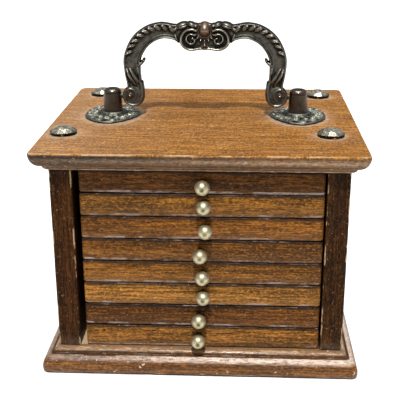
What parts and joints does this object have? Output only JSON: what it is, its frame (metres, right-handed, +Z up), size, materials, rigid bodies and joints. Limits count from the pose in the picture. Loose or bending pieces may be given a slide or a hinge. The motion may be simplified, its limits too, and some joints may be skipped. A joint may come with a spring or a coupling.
{
  "type": "sewing box with trays",
  "caption": "Small open-fronted hardwood box of stacked pull-out shallow trays with ball knobs, moulded top and base boards, domed studs and an ornate hinged bail handle.",
  "frame": {"origin": "centre of the base's underside, on the surface that it stands on", "axes": "+Z up, the open front with the tray knobs faces -Y, +X to the right seen from the front"},
  "size_m": [0.12, 0.108, 0.1256],
  "materials": {
    "board_wood": "varnished, worn",
    "panel_wood": "varnished, worn",
    "tray_wood": "varnished, worn",
    "tray_cork": "matte cork",
    "green_felt": "felt",
    "knob_brass": "antiqued",
    "bail_bronze": "dark antique",
    "post_bronze": "dark satin",
    "rosette_pewter": "dull grey, dark crevices",
    "stud_nickel": "hammered, tarnished",
    "screw_steel": "plain"
  },
  "bodies": {
    "case": {"base_felt": "green_felt", "base_board": "board_wood", "top_board": "board_wood", "back_panel": "panel_wood", "side_panel_left": "panel_wood", "side_panel_right": "panel_wood", "base_screws": "screw_steel", "corner_studs": "stud_nickel", "post_screws": "screw_steel", "handle_post_left": "post_bronze", "handle_post_right": "post_bronze", "rosette_left": "rosette_pewter", "rosette_right": "rosette_pewter"},
    "bail": {"bail": "bail_bronze"},
    "tray_1": {"tray_1": "tray_wood", "tray_liner_1": "tray_cork", "tray_knob_1": "knob_brass"},
    "tray_2": {"tray_2": "tray_wood", "tray_liner_2": "tray_cork", "tray_knob_2": "knob_brass"},
    "tray_3": {"tray_3": "tray_wood", "tray_liner_3": "tray_cork", "tray_knob_3": "knob_brass"},
    "tray_4": {"tray_4": "tray_wood", "tray_liner_4": "tray_cork", "tray_knob_4": "knob_brass"},
    "tray_5": {"tray_5": "tray_wood", "tray_liner_5": "tray_cork", "tray_knob_5": "knob_brass"},
    "tray_6": {"tray_6": "tray_wood", "tray_liner_6": "tray_cork", "tray_knob_6": "knob_brass"},
    "tray_7": {"tray_7": "tray_wood", "tray_liner_7": "tray_cork", "tray_knob_7": "knob_brass"},
    "tray_8": {"tray_8": "tray_wood", "tray_liner_8": "tray_cork", "tray_knob_8": "knob_brass"}
  },
  "joints": [
    {"name": "bail_hinge", "type": "hinge", "parent": "case", "child": "bail", "pos_m": [0, 0.003, 0.0955], "axis": [1, 0, 0], "range_deg": [-98, 98]},
    {"name": "tray_1_slide", "type": "slide", "parent": "case", "child": "tray_1", "axis": [0, -1, 0], "range_m": [0, 0.088]},
    {"name": "tray_2_slide", "type": "slide", "parent": "case", "child": "tray_2", "axis": [0, -1, 0], "range_m": [0, 0.088]},
    {"name": "tray_3_slide", "type": "slide", "parent": "case", "child": "tray_3", "axis": [0, -1, 0], "range_m": [0, 0.088]},
    {"name": "tray_4_slide", "type": "slide", "parent": "case", "child": "tray_4", "axis": [0, -1, 0], "range_m": [0, 0.088]},
    {"name": "tray_5_slide", "type": "slide", "parent": "case", "child": "tray_5", "axis": [0, -1, 0], "range_m": [0, 0.088]},
    {"name": "tray_6_slide", "type": "slide", "parent": "case", "child": "tray_6", "axis": [0, -1, 0], "range_m": [0, 0.088]},
    {"name": "tray_7_slide", "type": "slide", "parent": "case", "child": "tray_7", "axis": [0, -1, 0], "range_m": [0, 0.088]},
    {"name": "tray_8_slide", "type": "slide", "parent": "case", "child": "tray_8", "axis": [0, -1, 0], "range_m": [0, 0.088]}
  ]
}
